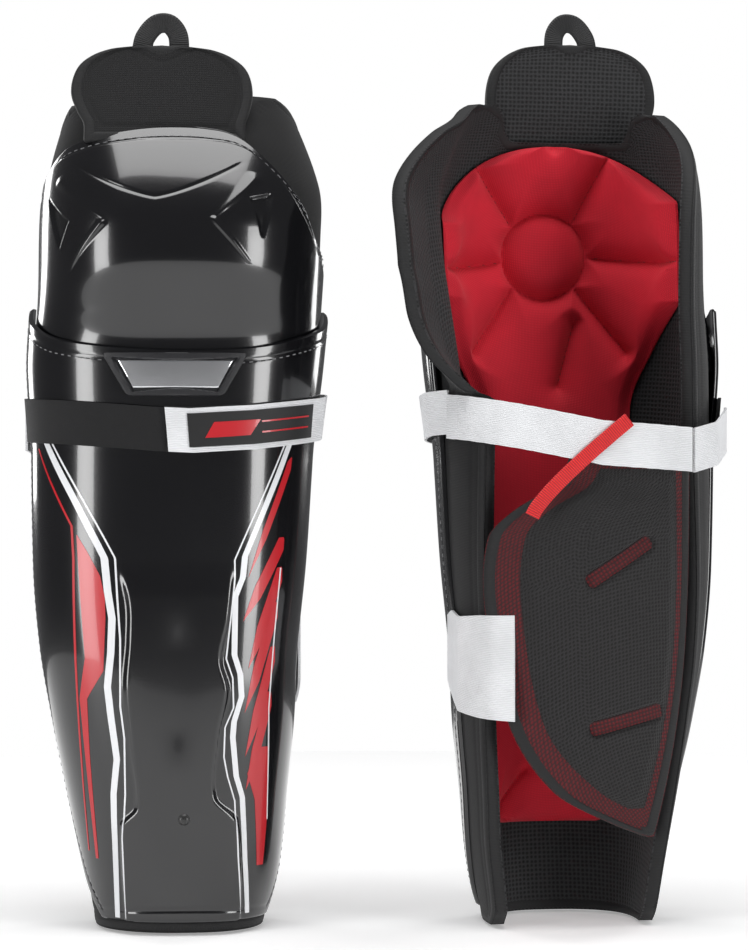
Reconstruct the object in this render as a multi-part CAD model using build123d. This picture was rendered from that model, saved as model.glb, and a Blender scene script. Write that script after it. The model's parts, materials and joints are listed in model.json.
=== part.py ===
from build123d import *

import os
from math import atan2, cos, degrees, hypot, radians, sin

# Two right-leg hockey shin guards, side by side on their bottom edges. Guard a shows its moulded front,
# guard b has its back turned to the front. Each guard is modelled in its own frame and placed at the end:
# +Z up along the shin, -Y forwards, +X towards the other leg, Z = 0 on the floor. All sizes in millimetres.

# Where the two guards stand: (x, y, turn about Z in degrees).
PLACES = {"guard_a": (-118.0, 0.0, 6.0), "guard_b": (112.0, 0.0, 190.0)}

# Heights.
SHELL_BOTTOM, SHELL_TOP = 7.0, 354.0
CAP_BOTTOM, CAP_TOP = 322.0, 459.0
LINER_TOP = 480.0
FLAP_BOTTOM, FLAP_TOP = 461.5, 510.0
LOOP_TOP = 532.0
STRAP_Z, STRAP_H = 292.0, 25.0
LOWER_STRAP_Z, LOWER_STRAP_H = 152.0, 60.0
RIVET_X, RIVET_Z = 1.0, 66.0

# Thicknesses, from the moulded shell inwards.
SHELL_T = 2.5
FOAM_T = 6.8
MESH_T = 1.2
TAB_T = 1.0
PAD_T = 9.0
GAP = 0.4
BINDING = 8.0
WEB_T = 1.4
REACH = 200.0
SECTION_STEP = 30

# The leg-shaped wall, as (height, value): half widths each side of the guard's middle, the sideways place
# of the front ridge, and how far the ridge stands in front of the widest line.
LATERAL = ((0, 47), (40, 54), (80, 62), (120, 70), (160, 77), (210, 81), (320, 81), (360, 78), (430, 75),
           (485, 60))
MEDIAL = ((0, 50), (40, 58), (80, 62), (120, 66), (160, 68), (210, 73), (260, 76), (320, 79), (400, 84),
          (430, 83),
          (485, 62))
RIDGE_X = ((0, 7), (60, 8), (250, 8), (320, 3), (380, -4), (485, -3))
DEPTH = ((0, 50), (120, 55), (250, 59), (330, 61), (400, 60), (445, 53), (485, 36))
REAR_DEPTH = 75.0
SQUARENESS = 2.4

# How far back each layer runs behind the widest line, as (height, distance).
LINER_BACK = ((0, 10), (12, 24), (60, 31), (200, 43), (300, 49), (400, 45), (450, 24), (485, 8))
SHELL_BACK_LATERAL = ((0, -34), (30, -14), (70, 0), (120, 9), (354, 14))
SHELL_BACK_MEDIAL = ((0, -30), (30, -8), (70, 2), (120, 6), (354, 12))
CAP_BACK_LATERAL = ((322, 10), (400, 6), (440, -12), (466, -26))
CAP_BACK_MEDIAL = ((322, 6), (360, -2), (400, -12), (440, -20), (466, -30))
PAD_BACK = ((95, -24), (180, -4), (300, 4), (340, 20), (400, 22), (450, -14))
CAP_BULGE = ((322, 0.4), (338, 0.4), (354, 6), (385, 17), (410, 18), (435, 14), (459, 2), (466, -4))
SHELL_LIP = ((0, 0), (270, 0), (320, 3.4), (354, 4.6))

# The calf wrap's plan curve, an ellipse that follows the calf: (height, value).
WRAP_CENTRE_X = ((40, 4), (160, 4), (300, 1))
WRAP_CENTRE_Y = ((40, 17), (160, 30), (300, 37))
WRAP_HALF_WIDTH = ((40, 59), (160, 66), (300, 66))
WRAP_BULGE = ((40, 24), (160, 34), (300, 34))
WRAP_T = 6.6
WRAP_START, WRAP_END = -80.0, 74.0


def at(stations, z):
    """Smooth value at height z through (height, value) stations."""
    last = len(stations) - 1
    if z <= stations[0][0]:
        return float(stations[0][1])
    if z >= stations[last][0]:
        return float(stations[last][1])
    i = max(k for k in range(last) if stations[k][0] <= z)

    def slope(k):
        a, b = stations[max(k - 1, 0)], stations[min(k + 1, last)]
        return (b[1] - a[1]) / (b[0] - a[0])

    (z0, v0), (z1, v1) = stations[i], stations[i + 1]
    h = z1 - z0
    t = (z - z0) / h
    return (
        (1 + 2 * t) * (1 - t) ** 2 * v0
        + t * (1 - t) ** 2 * h * slope(i)
        + t * t * (3 - 2 * t) * v1
        + t * t * (t - 1) * h * slope(i + 1)
    )


def half_width(z, side):
    """From the ridge to the widest line, on the outer side if side is negative."""
    ridge = at(RIDGE_X, z)
    return ridge + at(LATERAL, z) if side < 0 else at(MEDIAL, z) - ridge


def wall_point(z, angle, bulge=0.0):
    """A point of the leg-shaped wall. Angle is its direction: 0 at the front ridge, -90 and 90 sideways."""
    across, ahead = sin(radians(angle)), cos(radians(angle))
    depth, power = (at(DEPTH, z) + bulge, SQUARENESS) if ahead >= 0 else (REAR_DEPTH, 2.0)
    reach = (abs(ahead / depth) ** power + abs(across / half_width(z, angle)) ** power) ** (-1 / power)
    return at(RIDGE_X, z) + reach * across, -reach * ahead


def angle_at(z, back, side):
    """The direction of the wall's point that lies the distance back behind the widest line."""
    depth, power = (at(DEPTH, z), SQUARENESS) if back < 0 else (REAR_DEPTH, 2.0)
    across = half_width(z, side) * (1 - min(abs(back) / depth, 1.0) ** power) ** (1 / power)
    return degrees(atan2(across, -back))


def wall(lateral, medial, bulge=((0, 0), (500, 0)), count=17):
    """A plan curve of the wall for each height, between angles given as functions of height."""

    def curve(z):
        low, high = -lateral(z), medial(z)
        step = (high - low) / (count - 1)
        return [wall_point(z, low + k * step, at(bulge, z)) for k in range(count)]

    return curve


def outward(points):
    """Unit normals on the right-hand side of a plan curve."""
    last = len(points) - 1
    found = []
    for k in range(last + 1):
        (x0, y0), (x1, y1) = points[max(k - 1, 0)], points[min(k + 1, last)]
        length = hypot(x1 - x0, y1 - y0)
        found.append(((y1 - y0) / length, (x0 - x1) / length))
    return found


def layer(curve, levels, outer, inner):
    """A curved sheet between two offsets of a plan curve, which are functions of height."""
    wires = []
    for z in levels:
        points = curve(z)
        normals = outward(points)

        def offset_by(amount):
            return [(x + u * amount, y + v * amount, z) for (x, y), (u, v) in zip(points, normals)]

        out = offset_by(outer(z))
        back = offset_by(inner(z))[::-1]
        even = [k / (len(points) - 1) for k in range(len(points))]
        front_edge = Edge.make_spline(out, parameters=even)
        back_edge = Edge.make_spline(back, parameters=even)
        wires.append(Wire([front_edge, Line(out[-1], back[0]), back_edge, Line(back[-1], out[0])]))
    return Solid.make_loft(wires)


def constant(value):
    return lambda z: value


def levels(low, high):
    """Section heights, on one common grid between the ends, so that neighbouring layers keep their gap."""
    inside = [z for z in range(0, 600, SECTION_STEP) if low + SECTION_STEP / 5 < z < high - SECTION_STEP / 5]
    return [low, *inside, high]


def upright(*edges):
    """A flat outline in X and Z, as a face."""
    return Plane.XZ * make_face(list(edges))


def through(face):
    """The face extruded right through the guard from front to back."""
    return extrude(face, amount=REACH, both=True)


def inset(face, amount):
    """The same outline, drawn in by the amount."""
    flat = Plane.XZ.to_local_coords(face)
    return Plane.XZ * offset(flat, amount=-amount)


def slab(z0, z1):
    """Everything between two heights."""
    return Pos(0, 0, (z0 + z1) / 2) * Box(2 * REACH, 2 * REACH, z1 - z0)


def shell_face(z):
    """How far the shin shell's outer face stands off the leg-shaped wall."""
    return GAP + at(SHELL_LIP, z) + SHELL_T


# ---- moulded shells ----


def shin_shell():
    curve = wall(
        lambda z: angle_at(z, at(SHELL_BACK_LATERAL, z), -1),
        lambda z: angle_at(z, at(SHELL_BACK_MEDIAL, z), 1),
    )
    body = layer(
        curve,
        levels(SHELL_BOTTOM, SHELL_TOP),
        shell_face,
        lambda z: shell_face(z) - SHELL_T,
    )
    top = upright(
        Spline((-100, 362), (-84, 352), (-40, 335), (0, 332), (40, 335), (84, 350), (100, 360)),
        Polyline((100, 360), (100, -10), (-100, -10), (-100, 362)),
    )
    return (body & through(top)) - rivet_axis(2.2, 20)


def knee_cap():
    """A domed cap whose lower edge tucks in behind the lip of the shin shell."""
    curve = wall(
        lambda z: angle_at(z, at(CAP_BACK_LATERAL, z), -1),
        lambda z: angle_at(z, at(CAP_BACK_MEDIAL, z), 1),
        CAP_BULGE,
    )
    body = layer(
        curve,
        levels(CAP_BOTTOM, CAP_TOP),
        constant(GAP + SHELL_T),
        constant(GAP),
    )
    arch = upright(
        Spline((-82, 380), (-77, 424), (-56, 446), (-30, 455), (0, CAP_TOP - 0.5), (30, 455), (56, 446),
               (78, 424), (84, 380)),
        Polyline((84, 380), (84, 300), (-82, 300), (-82, 380)),
    )
    return body & through(arch)


def front_place(z, x):
    """Where the shell's outer face is at a height and x, in front."""
    ridge = at(RIDGE_X, z)
    share = (abs(x - ridge) / half_width(z, x - ridge)) ** SQUARENESS
    return x, -at(DEPTH, z) * (1 - share) ** (1 / SQUARENESS) - shell_face(z)


BADGE_LOW, BADGE_HIGH = 305.5, 330.0


def badge_outline(margin):
    """A trapezium, wider at its top."""
    low, high = BADGE_LOW + margin, BADGE_HIGH - margin
    corners = [(-18 + margin, low), (28 - margin, low), (41 - margin * 1.6, high), (-34 + margin * 1.6, high)]
    return fillet((Plane.XZ * make_face(Polyline(*corners, close=True))).vertices(), 2.0)


def badge_layer(inner, outer):
    curve = wall(constant(48), constant(48), count=13)
    return layer(curve, levels(290, 336), lambda z: shell_face(z) + outer, lambda z: shell_face(z) + inner)


def badge_bezel():
    """A black moulded frame sewn to the shell."""
    ring = through(badge_outline(0)) - through(badge_outline(4.4))
    return badge_layer(0.6, 3.0) & ring


def badge_plate():
    return badge_layer(0.6, 2.2) & through(badge_outline(4.7))


def rivet_axis(radius, length):
    """A cylinder across the front wall at the rivet's place, centred on the shell's face."""
    x, y = front_place(RIVET_Z, RIVET_X)
    return Pos(x, y, RIVET_Z) * Rot(90, 0, 0) * Cylinder(radius, length)


def shell_rivet():
    """A flat-headed rivet that holds the shell to the liner, with its washer inside."""
    x, y = front_place(RIVET_Z, RIVET_X)
    head = Pos(x, y - 1.2, RIVET_Z) * Rot(90, 0, 0) * Cylinder(3.4, 1.2)
    inside = y + SHELL_T + GAP + FOAM_T + MESH_T
    washer = Pos(x, inside + 1.4, RIVET_Z) * Rot(90, 0, 0) * Cylinder(4.5, 1.0)
    ends = (y - 0.6, inside + 0.9)
    shank = Pos(x, sum(ends) / 2, RIVET_Z) * Rot(90, 0, 0) * Cylinder(2.0, ends[1] - ends[0])
    return (head + shank + washer).clean()


# ---- the liner: foam, inner mesh, edge binding ----


def liner_outline():
    """Front outline with an ear each side of the knee and a straight edge where the thigh flap stands."""
    corners = [
        (-120, -5), (120, -5), (120, 396), (87, 402), (80, 442), (65, 470), (50, 477), (45, 459.5),
        (-50, 459.5), (-55, 467), (-68, 459), (-82, 436), (-88, 404), (-120, 396),
    ]
    return fillet((Plane.XZ * make_face(Polyline(*corners, close=True))).vertices(), 3.0)


def liner_body(outer, inner, shorter=0.0):
    return layer(
        wall(
            lambda z: angle_at(z, at(LINER_BACK, z) - shorter, -1),
            lambda z: angle_at(z, at(LINER_BACK, z) - shorter, 1),
            count=17,
        ),
        levels(0, LINER_TOP),
        constant(outer),
        constant(inner),
    )


def liner_core(outer, inner):
    """A liner layer inside the edge binding."""
    margin = BINDING + 0.2
    body = liner_body(outer, inner, margin)
    return (body & through(inset(liner_outline(), margin)) & slab(margin, LINER_TOP)) - rivet_axis(2.2, 40)


def liner_foam():
    return liner_core(0, -FOAM_T)


def liner_mesh():
    return liner_core(-FOAM_T - 0.2, -FOAM_T - MESH_T)


def liner_binding():
    """The tape that wraps the edge all the way round."""
    whole = liner_body(0, -FOAM_T - MESH_T) & through(liner_outline())
    core = liner_body(4, -FOAM_T - MESH_T - 4, BINDING)
    core = core & through(inset(liner_outline(), BINDING)) & slab(BINDING, LINER_TOP + 5)
    return whole - core


# ---- the comfort pad ----


def pad_outline():
    return upright(
        Spline((-72, 380), (-66, 425), (-34, 452), (0, 457), (34, 452), (66, 425), (74, 380), (60, 335),
               (46, 305),
               (44, 260), (46, 180), (42, 100), (40, 92)),
        Spline((40, 92), (5, 86), (-26, 94)),
        Spline((-26, 94), (-38, 180), (-46, 260), (-46, 305), (-58, 335), (-72, 380)),
    )


PAD_FACE = -FOAM_T - MESH_T - 0.2 - TAB_T - 0.4


def comfort_pad():
    """The quilted pad that lies against the leg from the knee to the shin."""
    curve = wall(
        lambda z: angle_at(z, at(PAD_BACK, z), -1),
        lambda z: angle_at(z, at(PAD_BACK, z), 1),
        count=15,
    )
    body = layer(curve, levels(84, 458), constant(PAD_FACE), constant(PAD_FACE - PAD_T))
    return body & through(pad_outline())


TAB_PLACES = ((3, 110), (3, 200), (3, 290), (-30, 400), (30, 400))


def comfort_tabs():
    """Hook-and-loop discs between the liner and the comfort pad."""
    low = -FOAM_T - MESH_T - 0.2 - TAB_T
    curve = wall(constant(75), constant(75), count=13)
    body = layer(curve, levels(90, 420), constant(low + TAB_T), constant(low))
    discs = [through(Plane.XZ * Pos(x, z) * Circle(9)) & slab(z - 20, z + 20) for x, z in TAB_PLACES]
    return Compound(children=[s for disc in discs for s in (body & disc).solids()])


# ---- the thigh flap and its hang loop ----

FLAP_FRONT_Y = 51.5
FLAP_T = 8.0


def flap_curve(z):
    """The flap leans a little and follows the thigh."""
    lean = (z - FLAP_BOTTOM) * 0.10
    return [(x, -FLAP_FRONT_Y + lean + 6.0 * ((x + 3) / 52) ** 2) for x in range(-57, 58, 6)]


def flap_outline():
    """A low rounded shape, widest a third of the way up."""
    corners = [(-44, FLAP_BOTTOM), (39, FLAP_BOTTOM), (49, 479), (43, 502), (18, FLAP_TOP), (-24, FLAP_TOP),
               (-49, 502), (-55, 479)]
    return fillet((Plane.XZ * make_face(Polyline(*corners, close=True))).vertices(), 9.5)


def flap_layer(outer, inner, margin):
    body = layer(flap_curve, levels(FLAP_BOTTOM - 4, FLAP_TOP + 2), constant(outer), constant(inner))
    return body & through(inset(flap_outline(), margin) if margin else flap_outline())


def flap_binding():
    return flap_layer(0, -FLAP_T, 0) - through(inset(flap_outline(), 7.0))


def flap_cover():
    return flap_layer(0, -3.6, 7.0)


def flap_plate():
    return flap_layer(-3.8, -5.0, 7.6)


def flap_mesh():
    return flap_layer(-5.2, -FLAP_T, 7.0)


def hang_loop():
    """A folded ribbon with a drop-shaped eye."""
    y = -FLAP_FRONT_Y + (FLAP_TOP - FLAP_BOTTOM) * 0.10 + 4.0
    foot = FLAP_TOP + 1.3
    outline = upright(
        Line((-14, foot), (10, foot)),
        Spline((10, foot), (6.5, 521), (3, 529), (-2, LOOP_TOP), (-7, 529), (-10.5, 521), (-14, foot)),
    )
    eye = upright(Spline((-2, 513.5), (2.8, 522), (-2, 528.5), (-6.8, 522), (-2, 513.5)))
    ribbon = extrude(outline - eye, amount=0.8, both=True)
    return Pos(0, y, 0) * ribbon


# ---- the calf wrap ----


def wrap_curve(z):
    centre_x, centre_y = at(WRAP_CENTRE_X, z), at(WRAP_CENTRE_Y, z)
    half, bulge = at(WRAP_HALF_WIDTH, z), at(WRAP_BULGE, z)
    count = 15
    turns = [radians(WRAP_END + (WRAP_START - WRAP_END) * k / (count - 1)) for k in range(count)]
    return [(centre_x + half * sin(t), centre_y + bulge * cos(t)) for t in turns]


def behind_liner():
    """Everything behind the liner's outer rear edge, which is nearly a slanting plane."""
    side = Polyline((29.5, 0), (51.5, 300), (200, 300), (200, 0), close=True)
    return extrude(Plane.YZ * make_face(side), amount=REACH, both=True)


def wrap_outline():
    """Straight along the hinge side, with a hollow under its top corner and a long curve to its foot."""
    corners = [(-100, 36), (-100, 284), (12, 284), (24, 256), (46, 242), (60, 226), (61, 180), (47, 118),
               (20, 80),
               (-14, 62), (-54, 47)]
    return fillet((Plane.XZ * make_face(Polyline(*corners, close=True))).vertices(), 12.0)


def wrap_body(outer, inner):
    return layer(wrap_curve, levels(34, 292), constant(outer), constant(inner)) & behind_liner()


def calf_binding():
    return (wrap_body(0, -WRAP_T) & through(wrap_outline())) - through(inset(wrap_outline(), 9.0))


def calf_mesh():
    """The outer mesh, through which the pad and its red backing show."""
    return wrap_body(0, -1.0) & through(inset(wrap_outline(), 9.2))


def calf_pad():
    """A moulded pad with two slanted vents."""
    vents = [
        Plane.XZ * Pos(x, z) * Rot(0, 0, turn) * SlotOverall(46, 9)
        for x, z, turn in ((-12, 212, -33), (-19, 122, -14))
    ]
    outline = inset(wrap_outline(), 22.0)
    body = wrap_body(-1.2, -5.2) & through(outline)
    for vent in vents:
        body = body - through(vent)
    return body


def calf_backing():
    return wrap_body(-5.4, -WRAP_T) & through(inset(wrap_outline(), 9.2))


# ---- straps ----


def strap_layer(low_angle, high_angle, inner, outer):
    """A stretch of strap round the outside of the shin shell."""
    curve = wall(constant(-low_angle), constant(high_angle), count=15)
    zs = levels(STRAP_Z - STRAP_H / 2, STRAP_Z + STRAP_H / 2)
    return layer(curve, zs, lambda z: shell_face(z) + outer, lambda z: shell_face(z) + inner)


def strap_band():
    """The loop-pile band fixed across the front."""
    return strap_layer(-103, 23, 0.3, 2.0)


def strap_tail():
    """The front end of the elastic, which comes round the inner side."""
    return strap_layer(-13, 107, 2.9, 2.9 + WEB_T)


def strap_hook():
    """The hook patch under the end of the tail."""
    return strap_layer(-12, 20, 2.15, 2.85) & slab(STRAP_Z - 11.5, STRAP_Z + 11.5)


def strap_label():
    """A dark patch sewn on the tail, cut at a slant at its free end."""
    face = upright(Polyline((10, 281.5), (60, 283), (60, 302), (12, 301.5), (7, 297), (7, 285), (10, 281.5)))
    return strap_layer(-3, 62, 2.95 + WEB_T, 3.8 + WEB_T) & through(face)


# The elastic's way round the back, from the inner side to the outer, and where it bends as the wrap opens.
STRAP_BACK = ((80, 34), (73, 53), (54, 69), (30, 76), (0, 79.5), (-30, 77.5), (-54, 68))
STRAP_SIDE = ((-73, 51), (-79, 42), (-85, 31), (-87.5, 22))


def elastic(way):
    """A stretch of the elastic, which lies lower on the outer side."""
    curve = layer(lambda z: way, levels(250, 320), constant(WEB_T / 2), constant(-WEB_T / 2))
    half = STRAP_H / 2
    middle = [(-95, 281), (-60, 275), (0, 279), (45, 288), (90, 296)]
    top = [(x, z + half) for x, z in middle]
    bottom = [(x, z - half) for x, z in reversed(middle)]
    return curve & through(
        upright(Spline(*top), Line(top[-1], bottom[0]), Spline(*bottom), Line(bottom[-1], top[0]))
    )


def strap_elastic():
    return elastic(STRAP_BACK)


def strap_side():
    return elastic(STRAP_SIDE)


def lower_strap():
    """A wide elastic from the calf wrap's free edge round the inner edge of the liner to the shell."""

    def curve(z):
        side = at(MEDIAL, z) + GAP + SHELL_T + 1.2
        lean = (at(WRAP_CENTRE_Y, z) + at(WRAP_BULGE, z)) - 64
        back = [(57.5, 53 + lean), (46, 58.5 + lean)]
        return [(side, -4), (side + 0.6, 12), (side - 1.5, 28), (side - 7, 42), *back]

    zs = levels(LOWER_STRAP_Z - LOWER_STRAP_H / 2, LOWER_STRAP_Z + LOWER_STRAP_H / 2)
    return layer(curve, zs, constant(WEB_T), constant(0))


def lower_hook():
    """The hook patch that grips the shell's inner side."""

    def curve(z):
        side = at(MEDIAL, z) + GAP + SHELL_T + 0.3
        return [(side, -3), (side + 0.2, 2), (side, 6)]

    return layer(curve, levels(LOWER_STRAP_Z - 27, LOWER_STRAP_Z + 27), constant(0.7), constant(0))


def tether():
    """Narrow webbing from the wrap's upper corner over the elastic, so that the wrap can't slide down."""
    band = layer(
        lambda z: [(x, y + 1.6) for x, y in STRAP_BACK[1:]],
        levels(225, 310),
        constant(1.0),
        constant(0),
    )
    face = upright(Polyline((35, 243), (46, 234), (-8, 292), (-20, 292), close=True))
    return band & through(face)


# ---- assembly ----

MAKERS = {
    "shin_shell": shin_shell,
    "knee_cap": knee_cap,
    "badge_bezel": badge_bezel,
    "badge_plate": badge_plate,
    "shell_rivet": shell_rivet,
    "liner_foam": liner_foam,
    "liner_mesh": liner_mesh,
    "liner_binding": liner_binding,
    "comfort_pad": comfort_pad,
    "comfort_tabs": comfort_tabs,
    "thigh_flap_cover": flap_cover,
    "thigh_flap_plate": flap_plate,
    "thigh_flap_mesh": flap_mesh,
    "thigh_flap_binding": flap_binding,
    "hang_loop": hang_loop,
    "calf_mesh": calf_mesh,
    "calf_pad": calf_pad,
    "calf_backing": calf_backing,
    "calf_binding": calf_binding,
    "strap_band": strap_band,
    "strap_tail": strap_tail,
    "strap_hook": strap_hook,
    "strap_label": strap_label,
    "strap_elastic": strap_elastic,
    "strap_side": strap_side,
    "lower_strap": lower_strap,
    "lower_strap_hook": lower_hook,
    "tether": tether,
}


def main():
    os.makedirs("parts", exist_ok=True)
    made = {}
    for name, maker in MAKERS.items():
        made[name] = maker()
    placed = {}
    for guard, (x, y, turn) in PLACES.items():
        for name, shape in made.items():
            placed[f"{guard}_{name}"] = Pos(x, y, 0) * Rot(0, 0, turn) * shape
    box = Compound(children=[s for shape in placed.values() for s in shape.solids()]).bounding_box()
    centre = Pos(-box.center().X, -box.center().Y, 0)
    for name, shape in placed.items():
        export_step(Compound(children=list((centre * shape).solids())), f"parts/{name}.step")


main()
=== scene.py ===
import json
import math
import bpy
import numpy as np
from mathutils import Matrix, Vector


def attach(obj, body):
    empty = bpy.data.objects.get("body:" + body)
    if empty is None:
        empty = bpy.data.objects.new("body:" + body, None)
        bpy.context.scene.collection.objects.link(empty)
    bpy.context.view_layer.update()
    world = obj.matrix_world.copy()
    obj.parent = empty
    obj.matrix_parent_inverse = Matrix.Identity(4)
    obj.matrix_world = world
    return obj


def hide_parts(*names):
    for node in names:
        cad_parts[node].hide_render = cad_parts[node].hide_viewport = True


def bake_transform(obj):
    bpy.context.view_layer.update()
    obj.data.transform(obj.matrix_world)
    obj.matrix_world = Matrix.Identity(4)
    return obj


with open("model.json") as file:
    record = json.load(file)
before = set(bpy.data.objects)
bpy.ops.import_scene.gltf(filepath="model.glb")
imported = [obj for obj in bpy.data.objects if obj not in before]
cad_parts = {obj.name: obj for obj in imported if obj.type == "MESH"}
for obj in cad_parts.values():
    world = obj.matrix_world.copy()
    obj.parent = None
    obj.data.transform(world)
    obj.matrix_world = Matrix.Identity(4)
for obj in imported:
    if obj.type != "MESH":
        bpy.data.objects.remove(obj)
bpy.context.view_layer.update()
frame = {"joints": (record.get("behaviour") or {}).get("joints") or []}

# ---------------------------------------------------------------- dimensions, mm, in each guard's own frame
# +Z up, -Y front, +X the inner side of the leg. The same driving sizes as the CAD part.
MM = 0.001
SHELL_BOTTOM = 7.0
CAP_BOTTOM = 322.0
FLAP_BOTTOM, FLAP_TOP = 461.5, 510.0
STRAP_H = 25.0
ELASTIC_T = 1.4
LABEL_H = 19.0
LOWER_STRAP_Z = 152.0
RIVET_Z = 66.0
RIVET_ANGLE = -6.4
SHELL_T = 2.5
GAP = 0.4
FOAM_T = 6.8
BINDING = 8.0
TAPE_THICKNESS = 8.6
PAD_FACE = -9.6
REAR_DEPTH = 75.0
SQUARENESS = 2.4
TILT_PIVOT = (-3.0, -51.9, 460.6)

LATERAL = ((0, 47), (40, 54), (80, 62), (120, 70), (160, 77), (210, 81), (320, 81), (360, 78), (430, 75),
           (485, 60))
MEDIAL = ((0, 50), (40, 58), (80, 62), (120, 66), (160, 68), (210, 73), (260, 76), (320, 79), (400, 84),
          (430, 83), (485, 62))
RIDGE_X = ((0, 7), (60, 8), (250, 8), (320, 3), (380, -4), (485, -3))
DEPTH = ((0, 50), (120, 55), (250, 59), (330, 61), (400, 60), (445, 53), (485, 36))
SHELL_BACK_LATERAL = ((0, -34), (30, -14), (70, 0), (120, 9), (354, 14))
SHELL_BACK_MEDIAL = ((0, -30), (30, -8), (70, 2), (120, 6), (354, 12))
CAP_BACK_LATERAL = ((322, 10), (400, 6), (440, -12), (466, -26))
CAP_BACK_MEDIAL = ((322, 6), (360, -2), (400, -12), (440, -20), (466, -30))
CAP_BULGE = ((322, 0.4), (338, 0.4), (354, 6), (380, 16.5), (400, 18.2), (412, 17), (435, 10.5), (459, 2),
             (466, -2))
SHELL_LIP = ((0, 0), (270, 0), (320, 3.4), (354, 4.6))
WRAP_CENTRE_X = ((40, 4), (160, 4), (300, 1))
WRAP_CENTRE_Y = ((40, 17), (160, 30), (300, 37))
WRAP_HALF_WIDTH = ((40, 59), (160, 66), (300, 66))
WRAP_BULGE = ((40, 24), (160, 34), (300, 34))


# ---------------------------------------------------------------- the leg-shaped wall
def at(stations, z):
    """Smooth value at z through (position, value) stations."""
    place = np.array([s[0] for s in stations], float)
    value = np.array([s[1] for s in stations], float)
    slope = np.empty_like(value)
    slope[1:-1] = (value[2:] - value[:-2]) / (place[2:] - place[:-2])
    slope[0] = (value[1] - value[0]) / (place[1] - place[0])
    slope[-1] = (value[-1] - value[-2]) / (place[-1] - place[-2])
    z = np.clip(np.asarray(z, float), place[0], place[-1])
    k = np.clip(np.searchsorted(place, z, side="right") - 1, 0, len(place) - 2)
    h = place[k + 1] - place[k]
    t = (z - place[k]) / h
    return (
        (1 + 2 * t) * (1 - t) ** 2 * value[k]
        + t * (1 - t) ** 2 * h * slope[k]
        + t * t * (3 - 2 * t) * value[k + 1]
        + t * t * (t - 1) * h * slope[k + 1]
    )


def straight(stations, z):
    """The value at z through the stations, with straight runs between them."""
    return np.interp(z, [s[0] for s in stations], [s[1] for s in stations])


def half_width(z, side):
    ridge = at(RIDGE_X, z)
    return np.where(np.asarray(side) < 0, ridge + at(LATERAL, z), at(MEDIAL, z) - ridge)


def wall_point(z, angle, bulge=0.0):
    across, ahead = np.sin(np.radians(angle)), np.cos(np.radians(angle))
    depth = np.where(ahead >= 0, at(DEPTH, z) + bulge, REAR_DEPTH)
    power = np.where(ahead >= 0, SQUARENESS, 2.0)
    share = np.abs(ahead / depth) ** power + np.abs(across / half_width(z, angle)) ** power
    reach = share ** (-1 / power)
    return at(RIDGE_X, z) + reach * across, -reach * ahead


def angle_at(z, back, side):
    depth = np.where(back < 0, at(DEPTH, z), REAR_DEPTH)
    power = np.where(back < 0, SQUARENESS, 2.0)
    across = half_width(z, side) * (1 - np.minimum(np.abs(back) / depth, 1) ** power) ** (1 / power)
    return np.degrees(np.arctan2(side * across, -back))


def surface(angle, z, offset, bulge=0.0):
    """Points on the wall, moved outwards by offset."""
    z = np.asarray(z, float) + 0 * np.asarray(angle, float)
    x, y = wall_point(z, angle, bulge)
    x0, y0 = wall_point(z, angle - 0.3, bulge)
    x1, y1 = wall_point(z, angle + 0.3, bulge)
    length = np.hypot(x1 - x0, y1 - y0)
    return np.stack([x + (y1 - y0) / length * offset, y - (x1 - x0) / length * offset, z], -1)


def outward(angle, z, bulge=0.0):
    """The direction straight out of the wall."""
    return unit(surface(angle, z, 10.0, bulge) - surface(angle, z, 0.0, bulge))


def step(value, low, high):
    t = np.clip((value - low) / (high - low), 0, 1)
    return t * t * (3 - 2 * t)


def net(left, right, low, high, columns, rows):
    """Angle and height of a grid between two side edges, functions of height, and two end edges, of angle."""
    u, v = np.meshgrid(np.linspace(0, 1, columns), np.linspace(0, 1, rows))
    z = 0 * u + (low(0.0 * u) + high(0.0 * u)) / 2
    for _ in range(8):
        angle = left(z) + (right(z) - left(z)) * u
        z = low(angle) + (high(angle) - low(angle)) * v
    return angle, z


def lengths(points, axis):
    """Distance run along a grid's rows or columns."""
    gap = np.linalg.norm(np.diff(points, axis=axis), axis=-1)
    pad = [(0, 0), (0, 0)]
    pad[axis] = (1, 0)
    return np.pad(np.cumsum(gap, axis=axis), pad)


def edge_distance(points):
    along, up = lengths(points, 1), lengths(points, 0)
    return np.minimum(np.minimum(along, along[:, -1:] - along), np.minimum(up, up[-1:] - up))


def rounding(distance, radius):
    """How far a face drops at its rounded edge."""
    inward = np.clip(radius - distance, 0, radius)
    return radius - np.sqrt(np.maximum(radius * radius - inward * inward, 0))


# ---------------------------------------------------------------- meshes
def slab(outer, inner):
    """A closed sheet between two grids: corners, faces, and cloth coordinates in millimetres."""
    rows, columns = outer.shape[:2]
    index = np.arange(rows * columns).reshape(rows, columns)
    quads = np.stack([index[:-1, :-1], index[:-1, 1:], index[1:, 1:], index[1:, :-1]], -1).reshape(-1, 4)
    rim = np.concatenate([index[0], index[1:, -1], index[-1, -2::-1], index[-2:0:-1, 0]])
    after = np.roll(rim, -1)
    count = rows * columns
    sides = np.stack([after, rim, rim + count, after + count], -1)
    along = lengths(outer, 1)
    flat = np.stack([along - along[:, columns // 2, None], lengths(outer, 0)], -1).reshape(-1, 2)
    corners = np.concatenate([outer.reshape(-1, 3), inner.reshape(-1, 3)])
    return corners, np.concatenate([quads, quads[:, ::-1] + count, sides]), np.concatenate([flat, flat])


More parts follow.
